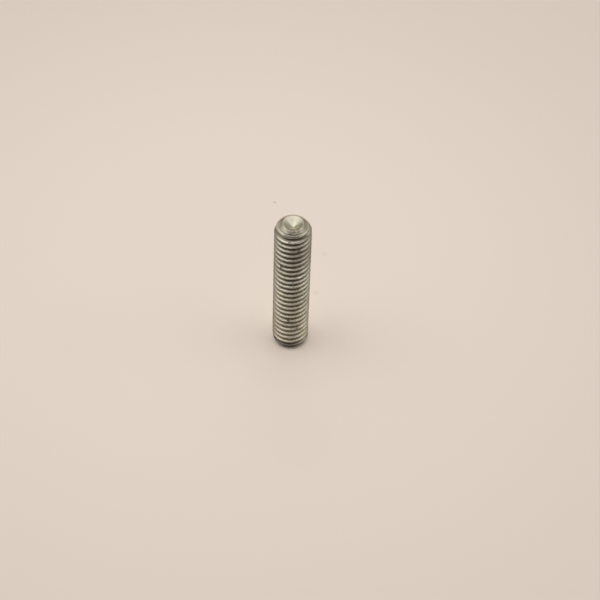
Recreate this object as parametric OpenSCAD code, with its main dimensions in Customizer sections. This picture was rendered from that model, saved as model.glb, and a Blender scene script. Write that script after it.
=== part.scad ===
// Threaded stud: a short length of zinc-plated steel with a thread from end to end.
// One end is faced flat and chamfered, so that the stud stands on it.
// The other end tapers, is chamfered, and has a conical cup in its middle.
// Units are millimetres. The stud stands on Z = 0 with its axis on +Z.

/* [Stud] */
// Overall length
stud_l = 26.4; // [10:0.1:60]
// How far the edge of the flat end face lies inside the bottom of the thread
foot_inset = 0.04; // [0.02:0.01:0.5]
// Height of the chamfer above the flat end face
foot_chamfer_h = 0.9; // [0.3:0.05:2]

/* [Thread] */
// Outside diameter over the crests
thread_d = 5.9; // [5.2:0.05:8]
// Distance from one crest to the next
pitch = 1; // [0.7:0.05:1.25]
// Width of the flat on the crest
crest_w = 0.13; // [0.05:0.01:0.2]
// Width of the flat at the bottom of the groove
root_w = 0.17; // [0.05:0.01:0.25]
// Angle between the two flanks of the groove
flank_angle = 60; // [50:1:70]
// Angle about the axis at which a crest meets the plane of the flat end face
thread_start = -25; // [-180:1:180]

/* [Cupped end] */
// Diameter of the mouth of the cup
cup_d = 3.2; // [1.5:0.05:3.6]
// Angle between opposite walls of the cup
cup_angle = 120; // [90:1:140]
// Width of the flat ring round the mouth of the cup
rim_w = 0.05; // [0.02:0.01:0.3]
// Diameter at the lower edge of the chamfer round the cup
point_d = 4.9; // [4.4:0.05:5.1]
// Height of the chamfer round the cup
point_h = 0.6; // [0.3:0.05:1]
// Height of the taper between that chamfer and the full diameter of the thread
taper_h = 0.9; // [0.3:0.05:2]

/* [Smoothness] */
// Straight segments in one turn of the thread
turn_segments = 36; // [24:2:48]

/* [Hidden] */
$fn = 2 * turn_segments;

// How far the groove's cutter reaches past the outside of the thread
overcut = 0.05;
// Whole turns that the groove runs on past each end
spare_turns = 1;

flank_slope = tan(flank_angle / 2);
thread_depth = (pitch - crest_w - root_w) / 2 / flank_slope;
thread_r = thread_d / 2;
root_r = thread_r - thread_depth;
foot_r = root_r - foot_inset;

cup_r = cup_d / 2;
rim_r = cup_r + rim_w;
cup_h = cup_r / tan(cup_angle / 2);
point_r = point_d / 2;
point_z = stud_l - point_h;

// Section of the groove as [radius, height], in order round its four corners.
mouth_r = thread_r + overcut;
mouth_half_w = (pitch - crest_w) / 2 + overcut * flank_slope;
groove_section = [
    [root_r, -root_w / 2],
    [mouth_r, -mouth_half_w],
    [mouth_r, mouth_half_w],
    [root_r, root_w / 2],
];

// The middle of the groove lies half a pitch from the crests.
groove_z = -(spare_turns + 0.5) * pitch;
groove_turns = ceil(stud_l / pitch) + 2 * spare_turns;

// Closed bar of a [radius, height] section, wound about Z as a right-hand helix.
module helix_bar(section, turns, lead, segments) {
    corners = len(section);
    rings = turns * segments;
    points = [
        for (i = [0 : rings], corner = section)
            let (angle = 360 * i / segments)
            [corner[0] * cos(angle), corner[0] * sin(angle), corner[1] + lead * i / segments]
    ];
    sides = [
        for (i = [0 : rings - 1], j = [0 : corners - 1])
            let (
                a = corners * i + j,
                b = corners * i + (j + 1) % corners,
                c = b + corners,
                d = a + corners
            )
            each [[a, b, c], [a, c, d]]
    ];
    first_end = [for (j = [corners - 1 : -1 : 0]) j];
    last_end = [for (j = [0 : corners - 1]) corners * rings + j];
    polyhedron(points, concat(sides, [first_end, last_end]), convexity = 2 * turns);
}

// Half of the stud's section before the thread is cut, from the foot up and over the cup.
module blank_section() {
    polygon([
        [0, 0],
        [foot_r, 0],
        [thread_r, foot_chamfer_h],
        [thread_r, point_z - taper_h],
        [point_r, point_z],
        [rim_r, stud_l],
        [cup_r, stud_l],
        [0, stud_l - cup_h],
    ]);
}

module thread_groove() {
    translate([0, 0, groove_z])
        rotate(thread_start)
            helix_bar(groove_section, groove_turns, pitch, turn_segments);
}

module stud() {
    color("#9a9585")
        difference() {
            rotate_extrude() blank_section();
            thread_groove();
        }
}

stud();
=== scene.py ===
"""Threaded stud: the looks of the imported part.

The stud is one turned and threaded piece. Its surface is one closed mesh: rows of points that
follow the helix of the thread up the shank, plain rings over the chamfered end and into the cup,
and plain rings round the edge of the flat foot. Sizes are in millimetres until the mesh is made.
"""
import math

import bpy
from mathutils import Matrix, Vector, noise


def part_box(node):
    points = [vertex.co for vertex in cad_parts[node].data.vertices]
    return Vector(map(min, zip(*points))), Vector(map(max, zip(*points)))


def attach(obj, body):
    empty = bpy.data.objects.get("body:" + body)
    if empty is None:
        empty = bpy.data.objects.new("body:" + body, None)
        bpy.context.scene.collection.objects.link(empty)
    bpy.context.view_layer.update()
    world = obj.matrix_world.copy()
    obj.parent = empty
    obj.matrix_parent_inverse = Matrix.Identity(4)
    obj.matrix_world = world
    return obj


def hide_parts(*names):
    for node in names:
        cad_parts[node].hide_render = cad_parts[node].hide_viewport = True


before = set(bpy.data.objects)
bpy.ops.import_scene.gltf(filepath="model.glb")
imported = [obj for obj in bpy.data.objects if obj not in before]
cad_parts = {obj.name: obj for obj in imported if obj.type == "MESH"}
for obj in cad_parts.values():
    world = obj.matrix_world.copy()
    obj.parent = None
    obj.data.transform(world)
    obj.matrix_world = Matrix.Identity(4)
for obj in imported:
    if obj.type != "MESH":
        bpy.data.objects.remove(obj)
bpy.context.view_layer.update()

MM = 0.001

# --- sizes of the stud, in millimetres -------------------------------------------------------
box_low, box_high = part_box("stud")
LENGTH = (box_high[2] - box_low[2]) / MM
THREAD_R = (box_high[0] - box_low[0]) / 2 / MM
PITCH = 1.0
CREST_W = 0.13
ROOT_W = 0.17
FLANK_ANGLE = math.radians(60)
FLANK_SLOPE = math.tan(FLANK_ANGLE / 2)
THREAD_START = math.radians(-25)
ROOT_R = THREAD_R - (PITCH - CREST_W - ROOT_W) / 2 / FLANK_SLOPE
FOOT_INSET = 0.04
FOOT_R = ROOT_R - FOOT_INSET
FOOT_CHAMFER_H = 0.9
CUP_R = 3.2 / 2
CUP_ANGLE = math.radians(120)
CUP_H = CUP_R / math.tan(CUP_ANGLE / 2)
RIM_W = 0.05
RIM_R = CUP_R + RIM_W
POINT_R = 4.9 / 2
POINT_H = 0.6
POINT_Z = LENGTH - POINT_H
TAPER_H = 0.9
TAPER_SLOPE = (THREAD_R - POINT_R) / TAPER_H

# Roundings that the turned and rolled surface has
CREST_ROUND = 0.07
ROOT_ROUND = 0.16
TAPER_ROUND = 0.10
POINT_ROUND = 0.10
RIM_ROUND = 0.30
# The rounding takes this much off the mouth of the cup, so the end is drawn that much higher
RIM_LIFT = 0.057
TIP_ROUND = 0.03
FOOT_ROUND = 0.025

# Rolled crests are never quite even: how far the radius and the height of a crest wander,
# and how quickly, round the stud and along it
CREST_WANDER = 0.022
LEAD_WANDER = 0.014
WANDER_ROUND = 1.9
LEAD_WANDER_ALONG = 0.8
CREST_WANDER_ALONG = 2.0
# Places in the noise that are far apart, so that the two wander on their own
LEAD_SEED = 40
CREST_SEED = 80

# Angle about the axis of the side that faces the camera
FRONT = -math.pi / 2
# Nicks in the crests: degrees to the right of the front, height, length along the crest,
# width up the flank and depth. A negative depth is metal that a knock has pushed up.
NICKS = (
    (-42.5, 18.72, 0.50, 0.26, -0.10),
    (-37.0, 18.84, 0.42, 0.28, 0.36),
    (19.5, 22.90, 0.34, 0.26, 0.25),
    (24.0, 22.98, 0.24, 0.18, -0.06),
    (27.5, 17.06, 0.36, 0.15, 0.15),
    (24.0, 16.90, 0.22, 0.15, -0.06),
    (-7.0, 6.90, 0.32, 0.26, 0.32),
    (-11.0, 6.88, 0.26, 0.20, -0.06),
    (-9.5, 24.82, 0.28, 0.20, 0.12),
    (20.0, 4.95, 0.35, 0.20, 0.07),
    (46.0, 11.05, 0.50, 0.22, 0.10),
    (51.0, 18.85, 0.60, 0.24, 0.08),
    (-43.0, 19.85, 0.35, 0.20, 0.12),
)
# Knocks on the edge of the chamfer round the cup, in the same order
POINT_NICKS = (
    (-24.0, 25.72, 0.50, 0.16, 0.03),
    (8.0, 25.66, 0.60, 0.14, 0.03),
    (52.0, 25.70, 0.45, 0.14, 0.03),
)
# How steeply a nick's depth falls with the square of the distance from its middle
NICK_FALL = 2.5

# --- how fine the mesh is --------------------------------------------------------------------
TURN_STEPS = 144
END_RING_STEP = 0.06
FOOT_ARC_STEPS = 4
# Heights of the rows between the middle of a crest and the middle of the groove beside it
HALF_PITCH_ROWS = (0.0, 0.035, 0.065, 0.095, 0.14, 0.21, 0.28, 0.34, 0.395, 0.45)
# Heights of the two plain rings that the helical rows lie between
THREAD_LOW_Z = 0.06
THREAD_HIGH_Z = LENGTH - 0.45
# A row that comes closer than this to one of the two rings ends on it
ROW_SNAP = 0.02
# Width of the outermost ring of the flat foot
FOOT_RING_W = 0.3


# --- form of the surface ---------------------------------------------------------------------
def smooth_min(a, b, width):
    """The lower of a and b, with the corner between them rounded."""
    near = max(width - abs(a - b), 0) / width
    return min(a, b) - near * near * width / 4


def smooth_max(a, b, width):
    """The higher of a and b, with the corner between them rounded."""
    return -smooth_min(-a, -b, width)


def turned_radius(z):
    """Radius of the blank at a height, before the thread is formed."""
    chamfer = FOOT_R + (THREAD_R - FOOT_R) * z / FOOT_CHAMFER_H
    taper = POINT_R + TAPER_SLOPE * (POINT_Z - z)
    end = RIM_R + (POINT_R - RIM_R) * (LENGTH - z) / POINT_H
    shank = smooth_min(chamfer, THREAD_R, TAPER_ROUND)
    return smooth_min(smooth_min(shank, taper, TAPER_ROUND), end, POINT_ROUND)


def end_height(radius):
    """Height of the cupped end at a radius inside its lower chamfer edge."""
    cup = LENGTH - CUP_H + smooth_max(radius * CUP_H / CUP_R, 0, TIP_ROUND)
    chamfer = LENGTH + (RIM_R - radius) * POINT_H / (POINT_R - RIM_R)
    return smooth_min(cup, chamfer, RIM_ROUND) + RIM_LIFT


def wander(angle, height):
    """A slow, even noise between -1 and 1 over the outside of the stud."""
    return noise.noise((WANDER_ROUND * math.cos(angle), WANDER_ROUND * math.sin(angle), height))


def thread_radius(angle, z):
    """Radius of the thread form at an angle and a height."""
    raised = LEAD_WANDER * wander(angle, LEAD_WANDER_ALONG * z + LEAD_SEED)
    lead = PITCH * (angle - THREAD_START) / math.tau + raised
    lowered = CREST_WANDER * (0.5 + 0.5 * wander(angle, CREST_WANDER_ALONG * z + CREST_SEED))
    from_crest = abs((z - lead + PITCH / 2) % PITCH - PITCH / 2)
    flank = THREAD_R - (from_crest - CREST_W / 2) / FLANK_SLOPE
    return smooth_max(smooth_min(flank, THREAD_R - lowered, CREST_ROUND), ROOT_R, ROOT_ROUND)


def nick_depth(angle, z):
    """How far the nicks near an angle and a height push the surface in."""
    depth = 0.0
    for where, height, along, across, deep in NICKS + POINT_NICKS:
        turned = (angle - FRONT - math.radians(where) + math.pi) % math.tau - math.pi
        far = (THREAD_R * turned / along) ** 2 + ((z - height) / across) ** 2
        depth += deep * math.exp(-NICK_FALL * far)
    return depth


def surface_radius(angle, z):
    """Radius of the finished surface at an angle and a height."""
    radius = min(turned_radius(z), thread_radius(angle, z))
    return min(radius - nick_depth(angle, z), THREAD_R)


# --- mesh ------------------------------------------------------------------------------------
def angles():
    """Angle of each point in a ring."""
    return [math.tau * i / TURN_STEPS for i in range(TURN_STEPS)]


def point(radius, angle, z):
    """A point in metres, from its radius, angle and height in millimetres."""
    return (radius * math.cos(angle) * MM, radius * math.sin(angle) * MM, z * MM)


class Skin:
    """Points and faces of a closed surface, made ring by ring."""

    def __init__(self):
        self.points = []
        self.faces = []

    def add_point(self, p):
        self.points.append(p)
        return len(self.points) - 1

    def add_ring(self, radius, z):
        return [self.add_point(point(radius, a, z)) for a in angles()]

    def add_face(self, corners):
        """A face without the corners that repeat the one before."""
        kept = [c for i, c in enumerate(corners) if c != corners[i - 1]]
        if len(kept) > 2:
            self.faces.append(kept)

    def join_rings(self, low, high):
        for i in range(TURN_STEPS):
            j = (i + 1) % TURN_STEPS
            self.add_face([low[i], low[j], high[j], high[i]])

    def close_ring(self, ring, z, upward):
        """A fan from a ring to a middle point, which faces up or down."""
        middle = self.add_point((0, 0, z * MM))
        for i in range(TURN_STEPS):
            j = (i + 1) % TURN_STEPS
            self.add_face([ring[i], ring[j], middle] if upward else [ring[j], ring[i], middle])


def row_heights():
    """Heights of the helical rows at angle 0, from the lowest, and the number of rows in a pitch."""
    one_pitch = [*HALF_PITCH_ROWS, PITCH / 2, *(PITCH - h for h in reversed(HALF_PITCH_ROWS[1:]))]
    crest = -PITCH * THREAD_START / math.tau
    first = math.floor((THREAD_LOW_Z - PITCH - crest) / PITCH) - 1
    last = math.ceil((THREAD_HIGH_Z - crest) / PITCH) + 1
    heights = [crest + PITCH * k + h for k in range(first, last) for h in one_pitch]
    return heights, len(one_pitch)


def add_thread(skin, low_ring, high_ring):
    """Rows along the helix between two rings. Rows that would pass a ring end on it."""
    heights, per_pitch = row_heights()
    grid = []
    for i, angle in enumerate(angles()):
        column = []
        for height in heights:
            z = height + PITCH * angle / math.tau
            if z < THREAD_LOW_Z + ROW_SNAP:
                column.append(low_ring[i])
            elif z > THREAD_HIGH_Z - ROW_SNAP:
                column.append(high_ring[i])
            else:
                column.append(skin.add_point(point(surface_radius(angle, z), angle, z)))
        grid.append(column)
    # A full turn round, each row meets the row one pitch above it
    grid.append(grid[0][per_pitch:] + [high_ring[0]] * per_pitch)
    for i in range(TURN_STEPS):
        for k in range(len(heights) - 1):
            skin.add_face([grid[i][k], grid[i + 1][k], grid[i + 1][k + 1], grid[i][k + 1]])


def rounded_corner(before, corner, after, radius, steps):
    """Points of an arc that takes the place of the corner between two others."""
    before, corner, after = Vector(before), Vector(corner), Vector(after)
    back = (before - corner).normalized()
    ahead = (after - corner).normalized()
    half = back.angle(ahead) / 2
    reach = radius / math.tan(half)
    centre = corner + (back + ahead).normalized() * radius / math.sin(half)
    start = corner + back * reach - centre
    end = corner + ahead * reach - centre
    sweep = math.pi - 2 * half
    arc = []
    for k in range(steps + 1):
        part = sweep * k / steps
        along = start * math.sin(sweep - part) + end * math.sin(part)
        arc.append(tuple(centre + along / math.sin(sweep)))
    return arc


def add_foot(skin, ring):
    """Rings from the lowest ring of the thread round the edge of the foot, and its flat face."""
    flat = (FOOT_R - FOOT_RING_W, 0.0)
    chamfer = (turned_radius(THREAD_LOW_Z), THREAD_LOW_Z)
    edge = rounded_corner(flat, (FOOT_R, 0.0), chamfer, FOOT_ROUND, FOOT_ARC_STEPS)
    for radius, z in reversed([flat, *edge]):
        lower = skin.add_ring(radius, z)
        skin.join_rings(lower, ring)
        ring = lower
    skin.close_ring(ring, 0.0, False)


def add_end(skin, ring):
    """Rings from the highest ring of the thread over the chamfer and the rim into the cup."""
    outer = turned_radius(THREAD_HIGH_Z)
    rings = math.ceil(outer / END_RING_STEP)
    for k in range(1, rings):
        radius = outer * (1 - k / rings)
        inner = skin.add_ring(radius, end_height(radius))
        skin.join_rings(ring, inner)
        ring = inner
    skin.close_ring(ring, end_height(0), True)


def make_stud():
    """The whole stud as one closed mesh that stands on its foot."""
    skin = Skin()
    low_ring = skin.add_ring(turned_radius(THREAD_LOW_Z), THREAD_LOW_Z)
    high_ring = skin.add_ring(turned_radius(THREAD_HIGH_Z), THREAD_HIGH_Z)
    add_thread(skin, low_ring, high_ring)
    add_foot(skin, low_ring)
    add_end(skin, high_ring)

    mesh = bpy.data.meshes.new("threaded_stud")
    mesh.from_pydata(skin.points, [], skin.faces)
    mesh.validate()
    mesh.shade_smooth()
    piece = bpy.data.objects.new("threaded_stud", mesh)
    bpy.context.collection.objects.link(piece)
    return piece


stud = make_stud()
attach(stud, "root")
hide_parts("stud")


# --- shader nodes ----------------------------------------------------------------------------
class Nodes:
    """Short names for the nodes that the materials and the world use."""

    def __init__(self, tree):
        self.tree = tree

    def add(self, kind, **settings):
        node = self.tree.nodes.new("ShaderNode" + kind)
        for name, value in settings.items():
            setattr(node, name, value)
        return node

    def put(self, socket, value):
        """Link a socket to another one, or give it a value of its own."""
        if isinstance(value, bpy.types.NodeSocket):
            self.tree.links.new(value, socket)
        else:
            socket.default_value = value

    def fill(self, node, *values):
        """Put values into a node's first inputs, and return its first output."""
        for socket, value in zip(node.inputs, values):
            self.put(socket, value)
        return node.outputs[0]

    def math(self, operation, *values):
        return self.fill(self.add("Math", operation=operation), *values)

    def plus(self, first, *others):
        for other in others:
            first = self.math("ADD", first, other)
        return first

    def times(self, first, *others):
        for other in others:
            first = self.math("MULTIPLY", first, other)
        return first

    def minus(self, a, b):
        return self.math("SUBTRACT", a, b)

    def shift(self, noise_value, width):
        """A noise as a shift of up to half the width either way."""
        return self.times(self.minus(noise_value, 0.5), width)

    def ramp(self, value, low, high, to_low=0.0, to_high=1.0, smooth=True):
        """From to_low where the value is low or less, to to_high where it is high or more."""
        node = self.add("MapRange", interpolation_type="SMOOTHSTEP" if smooth else "LINEAR")
        return self.fill(node, value, low, high, to_low, to_high)

    def vector(self, x, y, z):
        return self.fill(self.add("CombineXYZ"), x, y, z)

    def split(self, vector):
        node = self.add("SeparateXYZ")
        self.put(node.inputs[0], vector)
        return node.outputs

    def scaled(self, vector, scale):
        node = self.add("VectorMath", operation="SCALE")
        self.put(node.inputs[0], vector)
        self.put(node.inputs["Scale"], scale)
        return node.outputs[0]

    def place(self):
        """Place on the object, in millimetres."""
        return self.scaled(self.add("TexCoord").outputs["Object"], 1 / MM)

    def distance(self, place, spot):
        node = self.add("VectorMath", operation="DISTANCE")
        self.fill(node, place, spot)
        return node.outputs["Value"]

    def noise(self, place, scale, detail, rough):
        node = self.add("TexNoise")
        self.put(node.inputs["Vector"], place)
        self.put(node.inputs["Scale"], scale)
        self.put(node.inputs["Detail"], detail)
        self.put(node.inputs["Roughness"], rough)
        return node.outputs["Fac"]

    def blend(self, strength, first, second):
        """The first colour, with the second over it."""
        return self.fill(self.add("MixRGB"), strength, first, second)


def new_material(name):
    """A material, its shader and the short names for its nodes."""
    material = bpy.data.materials.new(name)
    material.use_nodes = True
    return material, material.node_tree.nodes["Principled BSDF"], Nodes(material.node_tree)


# --- plated steel ----------------------------------------------------------------------------
CLEAN_PLATING = (0.535, 0.505, 0.41, 1)
COOL_PLATING = (0.495, 0.485, 0.415, 1)
STRAW_PLATING = (0.555, 0.495, 0.355, 1)
DULL_PLATING = (0.40, 0.395, 0.325, 1)
# Worn crests, partly a painted sheen
WORN_CREST_AND_SHEEN = (0.86, 0.84, 0.76, 1)
# Grime and painted shade in the grooves, near the top and, lighter and browner, near the foot
GROOVE_GRIME_AND_SHADE = (0.215, 0.190, 0.150, 1)
LOWER_GRIME_AND_SHADE = (0.30, 0.25, 0.185, 1)
# Painted shade at the foot: the dark of the floor under it, which the chamfer mirrors
FOOT_SHADE = (0.135, 0.120, 0.105, 1)
BAND_GRIME = (0.095, 0.083, 0.066, 1)
BROWN_SPOT = (0.20, 0.12, 0.06, 1)
END_FACE = (0.435, 0.395, 0.30, 1)
CUP_FACE = (0.56, 0.53, 0.43, 1)
CUP_RIM = (0.30, 0.27, 0.21, 1)
END_DARK = (0.19, 0.162, 0.135, 1)
# Colour of the painted highlights on the edges of the end
LIP_HIGHLIGHT = (0.82, 0.775, 0.65, 1)
HAZE = (0.19, 0.14, 0.09, 1)
TAN_HAZE = (0.325, 0.28, 0.22, 1)
GREY_DARK_PATCH = (0.165, 0.145, 0.115, 1)
PALE_PATCH = (0.74, 0.69, 0.57, 1)
# Tint of what the steel mirrors at a grazing angle
EDGE_TINT = (0.46, 0.44, 0.40, 1)

# Noises over the surface: scale, detail and roughness
FINE_NOISE = (9.0, 4.0, 0.6)
PATCHY_NOISE = (1.1, 2.0, 0.55)
STRAW_NOISE = (0.55, 1.0, 0.55)
TURN_NOISE = (0.9, 1.0, 0.5)
SPOT_NOISE = (2.2, 1.0, 0.4)
ROLLED_NOISE = (4.0, 4.0, 0.65)
CUT_NOISE = (2.4, 3.0, 0.7)
# How quickly the noise of the dull turns changes across the stud, where along it is 1
TURN_STRETCH = 0.18
# The rolled marks run along the helix: how quickly they change across it and up the stud
ROLLED_ACROSS = 1.4
ROLLED_UP = 0.3
# The cut marks run round the axis: how quickly they change with the radius, height and angle
CUT_STRETCH = (6.0, 0.8, 0.02)

# A fade has where it starts, where it ends and, unless it grows from 0 to 1, the strengths there.
# Places, heights and depths are in millimetres. The front is at a y of -3.

# The threaded outside: it reaches this far inside the bottom of the groove, and ends at the chamfer
ROOT_MARGIN = 0.1
OUTSIDE_BY_Z = (POINT_Z - 0.15, POINT_Z + 0.05, 1.0, 0.0)
# Depths are below the full radius up to here, and below the taper above it
FULL_RADIUS_BY_Z = (POINT_Z - 0.6, POINT_Z - 0.35, THREAD_R, 0.0)
# There is more straw at the foot and less at the top
STRAW_BY_Z = (4.0, 22.0, 0.10, -0.10)
# Width of the noise in the height of the painted shade at the foot
FOOT_NOISE_H = 0.5
# Grime and painted shade in the grooves: by depth, with the widths of the noises in that depth
GRIME_AND_SHADE_BY_DEPTH = (0.07, 0.34, 0.0, 0.93)
GRIME_AND_SHADE_PATCHY_H = 0.22
GRIME_AND_SHADE_FINE_H = 0.16
# It is thinner on the top turns, but not at the front, where it stays as painted shade
GRIME_AND_SHADE_BY_Z = (POINT_Z - 1.3, POINT_Z - 0.7, 1.0, 0.62)
FRONT_SHADE_BY_Y = (-2.2, -1.0, 1.0, 0.0)
FRONT_SHADE_NOISE = 0.4
# It is lighter and browner at the foot than at the top
GRIME_AND_SHADE_TONE_BY_Z = (5.5, 22.0)
# Height and radius of the inside of the cup
CUP_Z = ("z", POINT_Z - 0.6, POINT_Z - 0.4)
CUP_RADIUS = ("radius", CUP_R - 0.2, CUP_R)

# Layers of colour, each over the ones before it: the colour, then the fades that its strength is
# the product of. A fade starts with the name of the value of Surface that it goes by.
PLATING_LAYERS = (
    (COOL_PLATING, (("patchy", 0.35, 0.65),)),
    (STRAW_PLATING, (("straw", 0.48, 0.66, 0.0, 0.75),)),
    # Worn crests with a painted sheen, stronger at the front
    (WORN_CREST_AND_SHEEN, (
        ("depth", 0.03, 0.10, 1.0, 0.0),
        ("fine", 0.44, 0.62),
        ("z", POINT_Z - 0.9, POINT_Z - 0.6, 1.0, 0.0),
        ("y", -2.7, -1.6, 0.85, 0.55),
    )),
    (DULL_PLATING, (("turns", 0.48, 0.66, 0.0, 0.6),)),
)
# The painted shade at the foot, then the end: its face, the cup, the darker rim of the cup, and
# painted highlights on the edges at the back of the cup and low on the chamfer
END_LAYERS = (
    # Painted shade at the foot
    (FOOT_SHADE, (("foot_z", 0.93, 1.30, 1.0, 0.0), ("patchy", 0.2, 0.5, 0.75, 0.95))),
    (END_FACE, (
        ("z", POINT_Z - 0.05, POINT_Z + 0.05),
        ("radius", CUP_R - 0.6, CUP_R - 0.1),
        ("radius", POINT_R - 0.3, POINT_R - 0.1, 1.0, 0.3),
        ("fine", 0.35, 0.65, 0.35, 0.85),
    )),
    (CUP_FACE, (CUP_Z, (*CUP_RADIUS, 0.8, 0.0))),
    (CUP_RIM, (
        ("radius", CUP_R - 0.25, CUP_R),
        ("radius", RIM_R + 0.05, RIM_R + 0.3, 1.0, 0.0),
        ("z", POINT_Z, POINT_Z + 0.2, 0.0, 0.8),
        ("patchy", 0.35, 0.6, 1.0, 0.5),
    )),
    # Painted highlights on the rim at the back of the cup, then low on the edge of the chamfer
    (LIP_HIGHLIGHT, (
        ("y", 0.7, 1.4),
        ("radius", CUP_R - 0.05, CUP_R + 0.1),
        ("z", POINT_Z - 0.1, POINT_Z + 0.1, 0.0, 0.85),
    )),
    (LIP_HIGHLIGHT, (
        ("radius", POINT_R - 0.2, POINT_R - 0.05),
        ("z", POINT_Z - 0.2, POINT_Z - 0.1),
    )),
)
# The band of grime under the edge of the chamfer, which is only at the front
BAND_LAYERS = (
    (BAND_GRIME, (
        ("z", POINT_Z - 0.78, POINT_Z - 0.62),
        ("z", POINT_Z - 0.32, POINT_Z - 0.18, 1.0, 0.0),
        ("y", -1.7, -0.9, 0.88, 0.0),
    )),
)
SPOT_LAYERS = (
    (BROWN_SPOT, (("spots", 0.70, 0.76, 0.0, 0.45),)),
)

# Where the thread is hazy brown, darker grey, paler, and painted highlights where the chamfer and
# the cup are brighter: middle, size, strength and colour
PATCHES = (
    ((2.75, -1.2, 21.0), 4.6, 0.65, TAN_HAZE),
    ((0.8, -2.8, 22.4), 3.2, 0.34, GREY_DARK_PATCH),
    ((-2.1, -2.0, 4.0), 4.5, 0.22, HAZE),
    ((-0.2, -2.9, 4.0), 3.1, 0.25, PALE_PATCH),
    ((2.3, -1.85, 3.4), 1.4, 0.6, STRAW_PLATING),
    # Painted highlights on the chamfer and the cup
    ((0.85, -2.35, 25.75), 0.6, 0.35, LIP_HIGHLIGHT),
    ((-1.2, -2.1, 25.85), 0.7, 0.25, LIP_HIGHLIGHT),
    ((-2.4, 0.0, 25.9), 1.05, 0.75, LIP_HIGHLIGHT),
    ((2.4, 0.0, 25.9), 1.0, 0.45, LIP_HIGHLIGHT),
    ((0.0, -0.65, 25.85), 1.0, 0.8, LIP_HIGHLIGHT),
)
# Painted glints on the crests, in the colour of the worn crests: middle, size and strength
CREST_GLINTS = (
    ((-0.9, -2.75, 24.95), 1.25, 1.0),
    ((1.2, -2.6, 24.95), 0.9, 0.9),
    ((-0.8, -2.85, 24.0), 1.0, 0.9),
    ((-0.8, -2.85, 21.15), 0.6, 0.8),
    ((1.4, -2.6, 17.05), 0.45, 1.0),
    ((-0.7, -2.85, 16.1), 0.75, 0.8),
    ((-1.2, -2.7, 6.95), 1.1, 0.9),
    ((1.2, -2.7, 7.15), 0.6, 0.9),
    ((-0.3, -2.95, 3.5), 1.9, 0.6),
)
GLINT_BY_DEPTH = (0.04, 0.13, 1.0, 0.0)
# Dark patches on the end, most of them at its front: middle, size and strength
END_DARK_PATCHES = (
    ((-0.40, -1.85, 26.22), 0.60, 0.65),
    ((0.22, -1.78, 26.28), 0.36, 0.9),
    ((-1.9, -0.3, 26.2), 0.55, 0.40),
    ((0.85, -1.85, 26.15), 0.40, 0.4),
    ((-0.80, -1.45, 26.35), 0.50, 0.45),
    ((-0.1, -1.62, 26.38), 0.55, 0.70),
    ((0.80, -1.45, 26.36), 0.50, 0.75),
    ((0.9, 0.9, 25.95), 0.80, 0.22),
    ((1.3, -0.1, 26.15), 0.60, 0.25),
)
# Part of their size over which these keep their full strength
PATCH_CORE = 0.2
GLINT_CORE = 0.3
DARK_PATCH_CORE = 0.35
# Width of the noise in the outline of a dark patch on the end, as a part of its size
DARK_PATCH_RAGGED = 0.9

BASE_ROUGHNESS = 0.25
FINE_ROUGHNESS = 0.12
GRIME_ROUGHNESS = 0.25
END_ROUGHNESS = (("z", POINT_Z - 0.1, POINT_Z + 0.1, 0.0, 0.07),)
CUP_ROUGHNESS = (CUP_Z, (*CUP_RADIUS, 0.05, 0.0))

# The bump's depth in millimetres and strength, and the shares of the marks in it
BUMP_DEPTH = 0.03
BUMP_STRENGTH = 0.35
ROLLED_SHARE = 0.5
FINE_SHARE = 0.25
CUT_SHARE = 0.5


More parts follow.
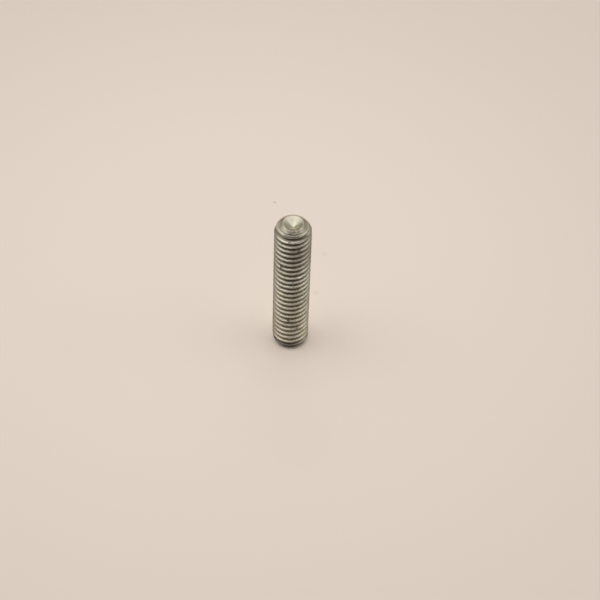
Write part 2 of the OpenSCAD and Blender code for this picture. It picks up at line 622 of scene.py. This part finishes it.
class Surface:
    """Values on the stud's surface that its colour, roughness and bump go by."""

    def __init__(self, n):
        self.n = n
        self.place = n.place()
        self.x, self.y, self.z = n.split(self.place)
        self.radius = n.math("SQRT", n.plus(n.times(self.x, self.x), n.times(self.y, self.y)))
        self.angle = n.math("ARCTAN2", self.y, self.x)
        self.fine = n.noise(self.place, *FINE_NOISE)
        self.patchy = n.noise(self.place, *PATCHY_NOISE)
        self.spots = n.noise(self.place, *SPOT_NOISE)
        self.straw = n.plus(n.noise(self.place, *STRAW_NOISE), n.ramp(self.z, *STRAW_BY_Z))
        across = [n.times(part, TURN_STRETCH) for part in (self.x, self.y)]
        self.turns = n.noise(n.vector(*across, self.z), *TURN_NOISE)
        self.foot_z = n.plus(self.z, n.shift(self.patchy, FOOT_NOISE_H))
        past_root = n.math("GREATER_THAN", self.radius, ROOT_R - ROOT_MARGIN)
        self.outside = n.times(past_root, n.ramp(self.z, *OUTSIDE_BY_Z))
        self.depth = self.below_crests()
        self.grime_and_shade = self.in_grooves()

    def below_crests(self):
        """Depth below the crests, which come in with the taper at the end."""
        n = self.n
        taper = n.plus(POINT_R, n.times(n.minus(POINT_Z, self.z), TAPER_SLOPE))
        crests = n.math("MAXIMUM", taper, n.ramp(self.z, *FULL_RADIUS_BY_Z))
        return n.minus(n.math("MINIMUM", crests, THREAD_R), self.radius)

    def in_grooves(self):
        """Strength of the grime and painted shade in the grooves, wandering with the noises so that
        it has no clean edge.
        """
        n = self.n
        patchy_depth = n.plus(self.depth, n.shift(self.patchy, GRIME_AND_SHADE_PATCHY_H))
        depth = n.plus(patchy_depth, n.shift(self.fine, GRIME_AND_SHADE_FINE_H))
        # The front keeps it on the top turns as painted shade
        front = n.ramp(n.plus(self.y, n.times(self.patchy, FRONT_SHADE_NOISE)), *FRONT_SHADE_BY_Y)
        left = n.math("MAXIMUM", front, n.ramp(self.z, *GRIME_AND_SHADE_BY_Z))
        return n.times(n.ramp(depth, *GRIME_AND_SHADE_BY_DEPTH), self.outside, left)

    def strength(self, fades):
        """The product of some fades."""
        return self.n.times(*(self.n.ramp(getattr(self, name), *fade) for name, *fade in fades))

    def spot(self, middle, size, strength, core, ragged=0.0):
        """A strength at the core of a round spot that falls to 0 at its size."""
        n = self.n
        away = n.distance(self.place, middle)
        if ragged:
            away = n.plus(away, n.shift(self.fine, ragged * size))
        return n.ramp(away, core * size, size, strength, 0.0)

    def layered(self, colour, layers):
        """A colour with some layers over it."""
        for tone, fades in layers:
            colour = self.n.blend(self.strength(fades), colour, tone)
        return colour


def steel_colour(n, surface):
    """Plating, grime and painted shade in the grooves, the end, dark patches, painted glints on the
    crests and patches, from the lowest to the highest.
    """
    colour = surface.layered(CLEAN_PLATING, PLATING_LAYERS)
    # Grime and painted shade in the grooves
    grime_and_shade = n.blend(n.ramp(surface.z, *GRIME_AND_SHADE_TONE_BY_Z), LOWER_GRIME_AND_SHADE, GROOVE_GRIME_AND_SHADE)
    colour = n.blend(surface.grime_and_shade, colour, grime_and_shade)
    colour = surface.layered(colour, END_LAYERS)
    for middle, size, strength in END_DARK_PATCHES:
        dark_patch = surface.spot(middle, size, strength, DARK_PATCH_CORE, DARK_PATCH_RAGGED)
        colour = n.blend(dark_patch, colour, END_DARK)
    # Painted glints on the crests
    crest = n.ramp(surface.depth, *GLINT_BY_DEPTH)
    for middle, size, strength in CREST_GLINTS:
        glint = n.times(surface.spot(middle, size, strength, GLINT_CORE), crest)
        colour = n.blend(glint, colour, WORN_CREST_AND_SHEEN)
    colour = surface.layered(colour, BAND_LAYERS)
    for middle, size, strength, tone in PATCHES:
        colour = n.blend(surface.spot(middle, size, strength, PATCH_CORE), colour, tone)
    return surface.layered(colour, SPOT_LAYERS)


def steel_roughness(n, surface):
    return n.plus(
        BASE_ROUGHNESS,
        n.times(surface.fine, FINE_ROUGHNESS),
        n.times(surface.grime_and_shade, GRIME_ROUGHNESS),
        surface.strength(END_ROUGHNESS),
        surface.strength(CUP_ROUGHNESS),
    )


def steel_bump(n, surface):
    """Marks left by the rolling on the thread and by the cutting on the end, with a fine grain."""
    turn = n.minus(n.times(surface.z, math.tau / PITCH), surface.angle)
    across = [n.times(n.math(wave, turn), ROLLED_ACROSS) for wave in ("COSINE", "SINE")]
    rolled = n.noise(n.vector(*across, n.times(surface.z, ROLLED_UP)), *ROLLED_NOISE)
    polar = (surface.radius, surface.z, surface.angle)
    cut = n.noise(n.vector(*map(n.times, polar, CUT_STRETCH)), *CUT_NOISE)
    marks = n.plus(
        n.times(rolled, surface.outside, ROLLED_SHARE),
        n.times(surface.fine, FINE_SHARE),
        n.times(cut, n.minus(1.0, surface.outside), CUT_SHARE),
    )
    bump = n.add("Bump")
    n.put(bump.inputs["Strength"], BUMP_STRENGTH)
    n.put(bump.inputs["Distance"], BUMP_DEPTH * MM)
    n.put(bump.inputs["Height"], marks)
    return bump.outputs[0]


def plated_steel():
    """Dull zinc plating: grime and painted shade in the grooves, worn crests with a painted sheen,
    rolled and cut marks.
    """
    material, shader, n = new_material("plated_steel")
    surface = Surface(n)
    n.put(shader.inputs["Metallic"], 1)
    n.put(shader.inputs["Specular Tint"], EDGE_TINT)
    n.put(shader.inputs["Base Color"], steel_colour(n, surface))
    n.put(shader.inputs["Roughness"], steel_roughness(n, surface))
    n.put(shader.inputs["Normal"], steel_bump(n, surface))
    return material


stud.data.materials.append(plated_steel())

# --- floor -----------------------------------------------------------------------------------
# Half the length of its side
FLOOR_HALF = 2000
FLOOR_COLOUR = (0.766, 0.672, 0.592)
FLOOR_ROUGHNESS = 0.8
# Painted light on the floor: its brightest place, and the fade from there to darker edges:
# distances, then shades
FLOOR_BRIGHTEST = (-10, 17, 0)
FLOOR_FADE = (20, 105, 1.0, 0.88)
# Faint marks on the floor: middle, size, and how much darker, or lighter where it is negative. The
# three lighter ones round the foot are painted light that thins the stud's shadow there
FLOOR_MARKS_AND_LIGHT = (
    # Painted light round the foot
    ((0.0, -1.0, 0), 22.0, -0.045),
    ((0.3, -0.6, 0), 9.0, -0.095),
    ((0.2, -0.4, 0), 4.6, -0.25),
    ((-3.4, 31.5, 0), 0.45, 0.30),
    ((5.5, 19.0, 0), 0.9, 0.07),
    ((4.2, 9.9, 0), 0.8, 0.08),
    ((1.8, -21.6, 0), 9.0, 0.02),
    ((-34.4, -2.3, 0), 13.0, 0.015),
)


def floor_paint():
    material, shader, n = new_material("floor")
    place = n.place()
    # Painted light, fading to darker edges
    shade = n.ramp(n.distance(place, FLOOR_BRIGHTEST), *FLOOR_FADE)
    for middle, size, dark in FLOOR_MARKS_AND_LIGHT:
        shade = n.times(shade, n.ramp(n.distance(place, middle), 0, size, 1 - dark, 1.0))
    n.put(shader.inputs["Base Color"], n.scaled(FLOOR_COLOUR, shade))
    n.put(shader.inputs["Roughness"], FLOOR_ROUGHNESS)
    return material


def make_floor():
    """A wide square at height 0, which the stud stands on."""
    half = FLOOR_HALF * MM
    corners = [(-half, -half, 0), (half, -half, 0), (half, half, 0), (-half, half, 0)]
    mesh = bpy.data.meshes.new("floor")
    mesh.from_pydata(corners, [], [(0, 1, 2, 3)])
    mesh.materials.append(floor_paint())
    floor = bpy.data.objects.new("floor", mesh)
    bpy.context.collection.objects.link(floor)


make_floor()

# --- world -----------------------------------------------------------------------------------
# The walls and the ceiling brighten up to these heights in a unit direction
WALL_TOP = 0.5
CEILING_TOP = 0.95
# Strength at the horizon, at the top of the walls and overhead
HORIZON_LIGHT = 0.5
WALL_LIGHT = 0.8
CEILING_LIGHT = 1.9
HORIZON_TINT = (1.0, 0.88, 0.77, 1)
CEILING_TINT = (1.0, 0.985, 0.96, 1)
# Each light: azimuth, elevation, inner and outer angle in degrees, strength
SOFT_LIGHTS = ((-98, 54, 6, 26, 0.55), (-50, 69, 4, 22, 1.5), (66, 64, 5, 28, 0.75))
# The dark person and camera at the front, as the steel mirrors them, and two darker parts of the
# room at the back. Here the strength is the part of the light that a shape hides.
DARK_SHAPES = (
    (-28, 38, 8, 52, 0.8),
    (30, 40, 8, 54, 0.85),
    (0, 4, 30, 72, 0.75),
    (-142, 20, 8, 38, 0.5),
    (130, 26, 8, 42, 0.45),
)


def direction(azimuth, elevation):
    """Unit vector: azimuth 0 points to the camera's side, 90 to the right."""
    a, e = math.radians(azimuth), math.radians(elevation)
    return (math.sin(a) * math.cos(e), -math.cos(a) * math.cos(e), math.sin(e))


def make_world():
    """A plain room, with soft lights above and dark shapes that the steel mirrors."""
    world = bpy.data.worlds.new("studio")
    bpy.context.scene.world = world
    world.use_nodes = True
    background = world.node_tree.nodes["Background"]
    n = Nodes(world.node_tree)
    towards = n.add("TexCoord").outputs["Generated"]
    height = n.split(towards)[2]

    def spot(azimuth, elevation, inner, outer, strength):
        """Strength inside the inner angle, falling to 0 at the outer angle."""
        dot = n.add("VectorMath", operation="DOT_PRODUCT")
        n.fill(dot, towards, direction(azimuth, elevation))
        angle = n.math("DEGREES", n.math("ARCCOSINE", dot.outputs["Value"]))
        return n.ramp(angle, inner, outer, strength, 0.0)

    walls = n.ramp(height, 0.0, WALL_TOP, HORIZON_LIGHT, WALL_LIGHT, smooth=False)
    ceiling = n.ramp(height, WALL_TOP, CEILING_TOP, 0.0, CEILING_LIGHT - WALL_LIGHT)
    light = n.plus(walls, ceiling, *(spot(*lamp) for lamp in SOFT_LIGHTS))
    for shape in DARK_SHAPES:
        light = n.times(light, n.minus(1.0, spot(*shape)))
    tint = n.blend(n.ramp(height, 0.0, WALL_TOP), HORIZON_TINT, CEILING_TINT)
    n.put(background.inputs["Color"], tint)
    n.put(background.inputs["Strength"], light)


make_world()

# --- camera ----------------------------------------------------------------------------------
IMAGE_W = 600
SENSOR_W = 36.0
FOCAL_PX = 1650.0
AIM_Z = 17.76
DISTANCE = 259.9
ELEVATION = math.radians(46.35)
ROLL = math.radians(-1.635)
# Pixel of the photo, across and down, where the point on the axis at AIM_Z is seen
AIM_PX = (292.19, 261.93)
# Nearest distance that the camera draws
NEAR = 10


def make_camera():
    """The photo's camera, which looks down on the stud from the front."""
    data = bpy.data.cameras.new("camera")
    data.sensor_width = SENSOR_W
    data.lens = FOCAL_PX * SENSOR_W / IMAGE_W
    data.clip_start = NEAR * MM
    camera = bpy.data.objects.new("camera", data)
    bpy.context.collection.objects.link(camera)
    back = Vector((0, -math.cos(ELEVATION), math.sin(ELEVATION)))
    level = (-back).to_track_quat("-Z", "Y").to_matrix()
    pan = math.atan2(AIM_PX[0] - IMAGE_W / 2, FOCAL_PX)
    tilt = math.atan2(AIM_PX[1] - IMAGE_W / 2, FOCAL_PX)
    aimed = Matrix.Rotation(pan, 3, "Y") @ Matrix.Rotation(tilt, 3, "X")
    place = (level @ (Matrix.Rotation(-ROLL, 3, "Z") @ aimed)).to_4x4()
    place.translation = Vector((0, 0, AIM_Z * MM)) + back * DISTANCE * MM
    camera.matrix_world = place
    bpy.context.scene.camera = camera


make_camera()
bpy.context.scene.view_settings.view_transform = "Standard"
